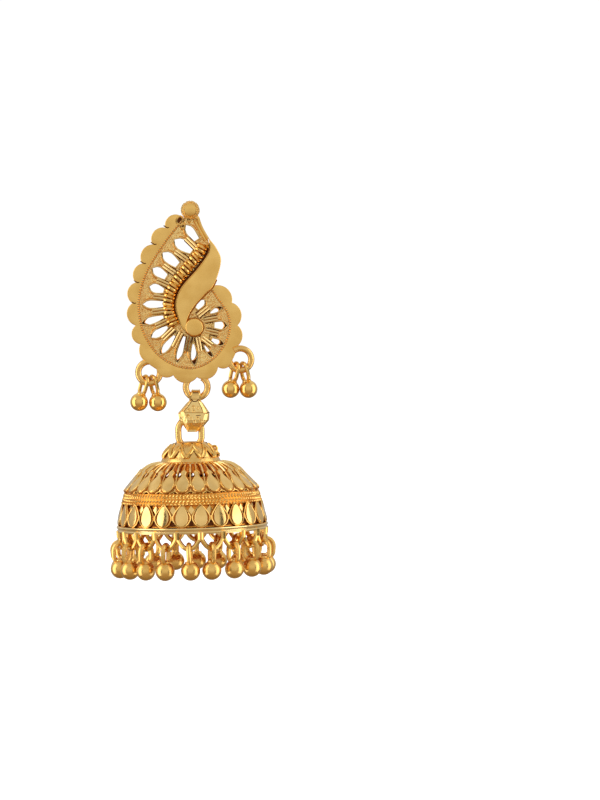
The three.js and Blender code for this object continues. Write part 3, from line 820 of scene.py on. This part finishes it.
# The strap, with a wire along each edge and two dark wires of painted shadow for grooves. It widens and leans
# to the left on its way down.
strap_lines = [circle(strap_middle, radius, 40) for radius in (strap_outside, strap_inside)]
strap = sheet(strap_lines, facet, back=0.75, front=-0.75, edge=0.08)
strap.transform(Matrix.Rotation(math.radians(90), 4, "Z"))
edge_radius = 1.17
edge_turns = [math.radians(turn) for turn in range(-15, 110, 10)]
edge_lines = [[(x, -edge_radius * math.cos(turn), strap_middle[1] + edge_radius * math.sin(turn))
               for turn in edge_turns] for x in (-0.66, 0.66)]
strap_edges = wires(edge_lines, polished, radius=0.13)
upper_groove = [(-0.5, -0.97, -0.86), (0.5, -0.97, -0.86)]
lower_groove = smooth_line([(-0.5, -1.24, -1.75), (-0.3, -1.24, -2.08), (0.1, -1.24, -2.12),
                            (0.45, -1.24, -1.85)])
strap_grooves = wires([upper_groove, lower_groove], painted_shadow, radius=0.08, sides=6)
strap_top = -0.35
strap_drop = 1.65
strap_lean = 0.12
strap_narrow = 0.78
strap_spread = 0.4
for part in (strap, strap_edges, strap_grooves):
    for corner in part.vertices:
        down = min(1.0, max(0.0, (strap_top - corner.co.z) / strap_drop))
        wide = strap_narrow + strap_spread * down
        corner.co.x = corner.co.x * wide - strap_lean - strap_lean * down
crease_lines = [
    [(-0.15, -1.3, -3.95), (0.6, -1.3, -3.9), (1.1, -1.28, -3.88), (1.6, -1.05, -3.84), (1.9, -0.6, -3.8)],
    [(-0.1, -1.42, -4.26), (0.3, -1.44, -4.22), (0.6, -1.42, -4.2)],
    [(-1.95, -1.26, -3.92), (-1.6, -1.3, -3.9)],
    [(-0.72, -1.21, -2.1), (-1.1, -1.27, -2.65), (-1.93, -1.38, -3.68)],
    [(0.22, -1.21, -2.1), (0.5, -1.27, -2.65), (0.97, -1.38, -3.68)],
    [(-1.5, -1.38, -4.5), (-1.42, -1.42, -5.0)],
    [(0.9, -1.4, -4.75), (1.05, -1.36, -4.55)]]
link_creases = wires(crease_lines, painted_shadow, radius=0.06, sides=6)
piece("link_facets", "link", ["link"],
      [link_body, strap, strap_edges, strap_grooves, link_creases], link_place, sharp=12)

# Bell crown
# The bell's cap is a small turned dome with a flange. Eleven chevrons, each of two thin wires, are soldered
# on it, with dark lines of painted shadow beside them, and one small scroll of wire. Its oval ring of round
# wire runs through the link, and ribs of wire go from the flange out to the bell's wall.
bell_place = Matrix.Translation((-1.9715, -0.55, -25.1996)) @ Matrix.Rotation(math.radians(-1.5), 4, "Y")
bell_wall = [(2.05, -1.65), (3.1, -2.4), (4.05, -3.5), (4.12, -4.25), (4.85, -4.6), (6.15, -5.1),
             (7.55, -6.0), (9.05, -7.65), (9.75, -8.6), (10.4, -10.7), (10.85, -12.9), (11.15, -14.2),
             (11.15, -15.0)]
cap_profile = [(0, -2.0), (1.0, -2.0), (1.6, -1.75), (2.05, -1.72), (2.5, -1.9), (3.05, -2.3), (3.55, -2.8),
               (3.9, -3.35), (4.02, -3.8), (4.12, -4.0), (4.3, -4.2), (4.5, -4.7), (4.2, -4.9), (0, -4.9)]
flange_profile = [(4.4, -4.62), (4.62, -4.66), (4.8, -4.74), (4.85, -4.84), (4.75, -4.94), (4.3, -4.96),
                  (4.4, -4.62)]


def on_bell(degrees, height, proud=0.0):
    """A point on the bell's wall, at so many degrees from the front to the right, or a little proud of it."""
    turn = math.radians(degrees)
    radius = bell_wall[-1][0]
    for (r0, z0), (r1, z1) in zip(bell_wall, bell_wall[1:]):
        if z1 <= height <= z0:
            radius = r0 + (r1 - r0) * (z0 - height) / (z0 - z1)
            break
    radius += proud
    return (radius * math.sin(turn), -radius * math.cos(turn), height)


def ring_tree():
    """Copies of a piece round the bell's axis, each tilted a little about a point of its own."""
    tree, given = new_tree("ring", Count="Int", Phase="Float", Tilt="Float", Pivot="Vector", Seed="Int",
                           Material="Material")
    step = new_node(tree, "ShaderNodeMath", 2 * math.pi, given["Count"], operation="DIVIDE")
    number = new_node(tree, "GeometryNodeInputIndex")
    turn = new_node(tree, "ShaderNodeMath", number, step, given["Phase"], operation="MULTIPLY_ADD")
    turned = new_node(tree, "ShaderNodeCombineXYZ", Z=turn)
    points = new_node(tree, "GeometryNodeMeshLine", Count=given["Count"], Offset=(0, 0, 0))
    copies = new_node(tree, "GeometryNodeInstanceOnPoints", Points=points, Instance=given["Geometry"],
                      Rotation=turned)
    least = new_node(tree, "ShaderNodeMath", given["Tilt"], -1.0, operation="MULTIPLY")
    tilt = new_node(tree, "FunctionNodeRandomValue", least, given["Tilt"], data_type="FLOAT_VECTOR",
                    Seed=given["Seed"])
    tilted = new_node(tree, "GeometryNodeRotateInstances", Instances=copies, Rotation=tilt,
                      Pivot_Point=given["Pivot"])
    return end_tree(tree, tilted, given)


def repeated(mesh, count, phase, tilt=0.0, pivot=(0, 0, 0), seed=0):
    """A mesh with copies of a part all round the bell. The phase and the greatest tilt are in degrees."""
    return made_by(ring, bpy.data.objects.new("part", mesh), Count=count, Phase=math.radians(phase),
                   Tilt=math.radians(tilt), Pivot=pivot, Seed=seed, Material=mesh.materials[0])


ring = ring_tree()
hanger_radius = 1.74
hanger_stretch = 0.87
hanger_line = [(x, 0, z - hanger_stretch if z < 0 else z) for x, z in circle((0, 0), hanger_radius, 36)]
hanger = wires([hanger_line], worn, radius=ring_wire, sides=16, closed=True)
cap = lathe(cap_profile, worn, sides=72)
flange = lathe(flange_profile, painted_highlight, sides=72)

# Half of a chevron goes from its point at the top to its foot, by degrees and height.
chevron_count = 11
chevron_phase = 7
outer_half = [(0, -2.1), (5.5, -2.7), (11, -3.3), (180 / chevron_count, -3.98)]
inner_half = [(0, -2.75), (5, -3.2), (10, -3.65), (13, -4.0)]
chevron_lines = [[on_bell(side * turn, z, 0.14) for turn, z in half]
                 for half in (outer_half, inner_half) for side in (-1, 1)]
shadow_lines = [[on_bell(side * turn, z + lift, 0.02) for turn, z in half] for side in (-1, 1)
                for half, lift in ((inner_half, 0.2), (outer_half, 0.2), (inner_half, -0.22))]
chevrons = repeated(wires(chevron_lines, polished, radius=0.19), chevron_count, chevron_phase)
chevron_shadows = repeated(wires(shadow_lines, painted_shadow, radius=0.1, sides=6), chevron_count, chevron_phase)

# Ribs by height and how proud of the wall they are: a short one above each pin, and between the pins a long
# one, on a bed of painted shade, that goes on as a thinner wire and forks round the pins' sides.
pin_count = 26
pin_phase = -7.6
between_pins = pin_phase + 180 / pin_count
short_rib = [(-4.78, -0.35), (-4.95, 0.05), (-5.2, 0.08), (-5.8, 0.04), (-6.4, 0.0)]
long_rib = [(-4.78, -0.3), (-4.95, 0.15), (-5.2, 0.2), (-5.8, 0.16), (-6.1, 0.08)]
thin_rib = [(-5.95, 0.06), (-6.4, 0.06), (-7.2, 0.02), (-7.75, 0.0)]
short_line, long_line, thin_line = [[on_bell(0, height, proud) for height, proud in rib]
                                    for rib in (short_rib, long_rib, thin_rib)]
rib_bed = [(x, y + 0.08, z - 0.14) for x, y, z in long_line]
left_fork = [on_bell(0, -7.7, 0.02), on_bell(-2.4, -8.3, 0.05), on_bell(-4.6, -8.95, 0.05)]
right_fork = [(-x, y, z) for x, y, z in left_fork]
short_ribs = repeated(wires([short_line], polished, radius=0.14), pin_count, pin_phase)
long_ribs = repeated(wires([long_line], painted_highlight, radius=0.17), pin_count, between_pins)
rib_beds = repeated(wires([rib_bed], painted_shade, radius=0.23), pin_count, between_pins)
forks = repeated(wires([thin_line, left_fork, right_fork], polished, radius=0.11), pin_count, between_pins)
scroll_line = [(3.3, -1.2, -2.45), (3.75, -1.2, -2.45), (4.0, -1.1, -2.85), (3.75, -1.1, -3.15),
               (3.95, -1.0, -3.45), (4.25, -1.0, -3.6), (4.15, -1.0, -3.95)]
scroll = wires([smooth_line(scroll_line)], polished, radius=0.17)
piece("bell_crown", "bell", ["dome"],
      [hanger, cap, flange, chevrons, chevron_shadows, short_ribs, long_ribs, rib_beds, forks, scroll],
      bell_place)

# Bell liner
# Behind the openwork the bell has a thin inner wall, spun from brass sheet and rough, coloured deep orange as
# painted shade. All round behind the upper pins' tops it is open in a narrow slot, bridged by a small bar
# behind each pin, in the same painted shade.
liner_profile = [(8.3, -7.4), (8.75, -7.85), (9.4, -8.8), (10.0, -10.7), (10.45, -12.9), (10.75, -14.2),
                 (10.75, -14.9), (10.45, -14.9), (10.4, -14.2), (10.15, -12.9), (9.7, -10.7), (9.1, -8.9),
                 (8.5, -8.0), (8.1, -7.6), (8.3, -7.4)]
crown_liner_profile = [(4.2, -4.8), (4.9, -4.98), (6.1, -5.45), (7.0, -6.0), (6.85, -6.2), (6.0, -5.7),
                       (4.8, -5.2), (4.2, -4.8)]
bar_half = 0.28
bar_long = 2.2
pin_slope = 42


def laid(mesh, radius, height, slope):
    """A standing part, made with its top at the origin, laid on the bell's front at a slope from upright."""
    mesh.transform(Matrix.Translation((0, -radius, height)) @ Matrix.Rotation(math.radians(-slope), 4, "X"))
    return mesh


liners = [lathe(profile, recess_shade, sides=96) for profile in (liner_profile, crown_liner_profile)]
bar_line = [(-bar_half, 0), (bar_half, 0), (bar_half, -bar_long), (-bar_half, -bar_long)]
bar = laid(sheet([bar_line], recess_shade, back=0.3, front=0.12), radius=6.9, height=-5.85, slope=pin_slope)
bars = repeated(bar, pin_count, pin_phase)
piece("bell_liner", "bell", ["dome"], [*liners, bars], bell_place)

# Bell upper pins
# Twenty-six flat drop-shaped plates with a small lozenge on top, cut bright with a diamond tool. Each has a
# thin wire rim, and they lean on the bell's shoulder, soldered to the ribs. Small diamonds sit between their
# lower ends.
pin_half = [(0.02, -0.15), (0.37, 0.3), (0.22, 0.85), (0.3, 1.15), (0.6, 1.7), (0.82, 2.25), (0.86, 2.8),
            (0.72, 3.4), (0.38, 3.8), (0.02, 3.92)]
pin_at = {"radius": 7.42, "height": -5.88, "slope": pin_slope}
small_diamond_line = [(0, 0), (0.3, -0.42), (0, -0.85), (-0.3, -0.42)]


def mirrored(half):
    """A closed outline of x and z from its right half, which is given by its width and its way down."""
    right = [(across, -down) for across, down in half]
    return right + [(-x, z) for x, z in reversed(right)]


pin_rim_line = [(x * 1.08, -0.08, z * 1.01) for x, z in mirrored(pin_half)]
# Dark wires round the lower half of each pin are painted shade between the pins.
pin_bed_line = [(x * 1.3, 0.06, z * 1.03) for x, z in mirrored(pin_half[4:])]
pin = laid(sheet([mirrored(pin_half)], facet, back=0.1, front=-0.2, edge=0.07), **pin_at)
pin_rim = laid(wires([pin_rim_line], polished, radius=0.09, closed=True), **pin_at)
pin_bed = laid(wires([pin_bed_line], painted_shade, radius=0.11), **pin_at)
small_diamond = laid(sheet([small_diamond_line], facet, back=0.1, front=-0.15, edge=0.05),
                     radius=9.35, height=-8.2, slope=30)
pins = repeated(pin, pin_count, pin_phase, tilt=3.5, pivot=(0, -8.9, -7.6), seed=3)
pin_rims = repeated(pin_rim, pin_count, pin_phase)
pin_beds = repeated(pin_bed, pin_count, pin_phase)
small_diamonds = repeated(small_diamond, pin_count, between_pins, tilt=4, pivot=(0, -9.5, -8.6), seed=5)
piece("bell_pins", "bell", ["dome"], [pins, pin_rims, pin_beds, small_diamonds], bell_place,
      sharp=24)

# Bell rope band
# A band round the bell between the pins and the lower drops. Three rows of twisted wire and a row of solder
# beads are soldered on it, with loose grains strewn between them and small arches of wire along its top.
band_profile = [(9.6, -8.95), (9.95, -9.1), (10.15, -9.6), (10.3, -10.2), (10.4, -10.75), (10.1, -10.8),
                (9.6, -8.95)]
# Each row: its height, its number of beads or strands, their radius, and how many degrees a strand leans.
rope_table = [(-9.42, 120, 0.19, 45), (-9.72, 120, 0.19, -45), (-10.2, 120, 0.2, 45), (-10.6, 110, 0.17, 0)]
strand_stretch = Matrix.Diagonal((0.8, 0.9, 1.5, 1))
bead_turn = 30
arch_height = -9.0
arch_rise = 0.28
# The band under the rows is deep orange, painted shade between them.
band = lathe(band_profile, recess_shade, sides=96)
loose_grains = grained(band, polished, gap=0.45, size=0.15, all_over=True)
rope_rows = []
for height, count, size, lean in rope_table:
    bead = ball(size, polished, levels=5, sides=6)
    stretch = strand_stretch if lean else Matrix.Identity(4)
    bead.transform(stretch @ Matrix.Rotation(math.radians(bead_turn), 4, "Z"))
    bead.transform(Matrix.Translation(on_bell(0, height, 0.03)) @ Matrix.Rotation(math.radians(lean), 4, "Y"))
    rope_rows.append(repeated(bead, count, 0))
arch_line = [on_bell(turn, arch_height + arch_rise * math.cos(math.radians(turn * pin_count)), 0.06)
             for turn in (-3.4, -2.5, -1.5, -0.5, 0.5, 1.5, 2.5, 3.4)]
arches = repeated(wires([arch_line], polished, radius=0.09), pin_count * 2, pin_phase)
piece("bell_rope_band", "bell", ["dome"], [band, loose_grains, *rope_rows, arches], bell_place)

# Bell lower drops
# Twenty-four flat drop-shaped plates, pointed at the top and cut bright like the pins, stand on the bell's
# wall on beds of painted shade. Their wire rims touch, with a small diamond above each place where they do
# and a dark patch of painted shadow below it.
drop_half = [(0.02, 0.0), (0.36, 0.24), (0.68, 0.8), (0.92, 1.5), (0.95, 2.15), (0.72, 2.7), (0.37, 2.98),
             (0.02, 3.05)]
drop_rim_half = [(0.02, -0.25), (0.5, 0.3), (0.98, 0.95), (1.3, 1.55), (1.28, 2.1), (0.95, 2.7), (0.5, 3.05),
                 (0.02, 3.12)]
diamond_line = [(0, 0.1), (0.5, -0.6), (0, -1.3), (-0.5, -0.6)]
foot_gap_line = [(0, -1.95), (0.42, -2.95), (-0.42, -2.95)]
drop_count = 24
drop_phase = -8.0
between_drops = drop_phase + 180 / drop_count
drop_at = {"radius": 10.42, "height": -10.85, "slope": 12}
drop_rim_line = [(x, -0.04, z) for x, z in mirrored(drop_rim_half)]
drop_plate = laid(sheet([mirrored(drop_half)], facet, back=0.15, front=-0.2, edge=0.07), **drop_at)
drop_rim = laid(wires([drop_rim_line], polished, radius=0.11, closed=True), **drop_at)
drop_bed = laid(sheet([mirrored(drop_rim_half)], painted_shade, back=0.3, front=0.06, edge=0.04), **drop_at)
diamond = laid(sheet([diamond_line], facet, back=0.3, front=0.12, edge=0.05), **drop_at)
foot_gap = laid(sheet([foot_gap_line], painted_shadow, back=0.3, front=0.1), **drop_at)
lower_drops = repeated(drop_plate, drop_count, drop_phase, tilt=4, pivot=(0, -10.8, -12.5), seed=11)
drop_rims = repeated(drop_rim, drop_count, drop_phase)
drop_beds = repeated(drop_bed, drop_count, drop_phase)
diamonds = repeated(diamond, drop_count, between_drops, tilt=4, pivot=(0, -10.5, -11.5), seed=13)
foot_gaps = repeated(foot_gap, drop_count, between_drops)
piece("bell_lower_drops", "bell", ["dome"],
      [lower_drops, drop_rims, drop_beds, diamonds, foot_gaps], bell_place, sharp=24)

# Bell rim and hoops
# A ridged band of brass closes the bell below. Twenty U-shaped hoops of round wire are soldered under it for
# the fringe, and two hoops share a thicker stem wherever they meet.
rim_profile = [(10.7, -13.95), (11.05, -13.95), (11.3, -14.08), (11.38, -14.25), (11.25, -14.45),
               (11.2, -14.6), (11.3, -14.75), (11.22, -14.95), (10.8, -15.0), (10.7, -13.95)]
hoop_count = 20
hoop_phase = -3
# The left half of a hoop, by degrees and height, and a stem, by height and how proud of the wall it is.
hoop_half = [(-8.7, -14.8), (-8.6, -15.3), (-7.6, -15.9), (-5.4, -16.55), (-2.8, -17.0), (0, -17.17)]
stem = [(-14.7, -0.15), (-15.2, -0.18), (-15.75, -0.2)]
stem_line = [on_bell(180 / hoop_count, height, proud) for height, proud in stem]
rim_band = lathe(rim_profile, painted_highlight, sides=96)
left_half = [on_bell(turn, height, -0.2) for turn, height in hoop_half]
hoop_line = left_half + [(-x, y, z) for x, y, z in reversed(left_half[:-1])]
hoops = repeated(wires([smooth_line(hoop_line, 3)], polished, radius=0.35), hoop_count, hoop_phase)
stems = repeated(wires([stem_line], polished, radius=0.48, sides=10), hoop_count, hoop_phase)
piece("bell_rim", "bell", ["dome"], [rim_band, hoops, stems], bell_place)

# Fringe
# Twenty small drops, made like the side drops and plated a little duller, hang one on each hoop. Their loops
# stand square to the bell's edge, and each drop leans a little its own way.
satin = gold("satin_gold", (0.92, 0.57, 0.17), 0.27, dents=0.2)
fringe_drop = drop(loop_radius=1.2, wire_radius=0.36, stretch=0.6, ball_radius=1.42, ball_down=4.22,
                   ball_out=0.2, material=satin)
fringe_place = Matrix.Translation((0, -10.95, -16.1)) @ Matrix.Rotation(math.radians(-90), 4, "Z")
fringe_pivot = (0, -10.95, -16.5)
fringe_parts = []
for part in fringe_drop:
    part.transform(fringe_place)
    fringe_parts.append(repeated(part, hoop_count, hoop_phase, tilt=3, pivot=fringe_pivot, seed=2))
fringe_nodes = ["fringe_drop_%02d" % number for number in range(1, hoop_count + 1)]
piece("ball_fringe", "bell", fringe_nodes, fringe_parts, bell_place)
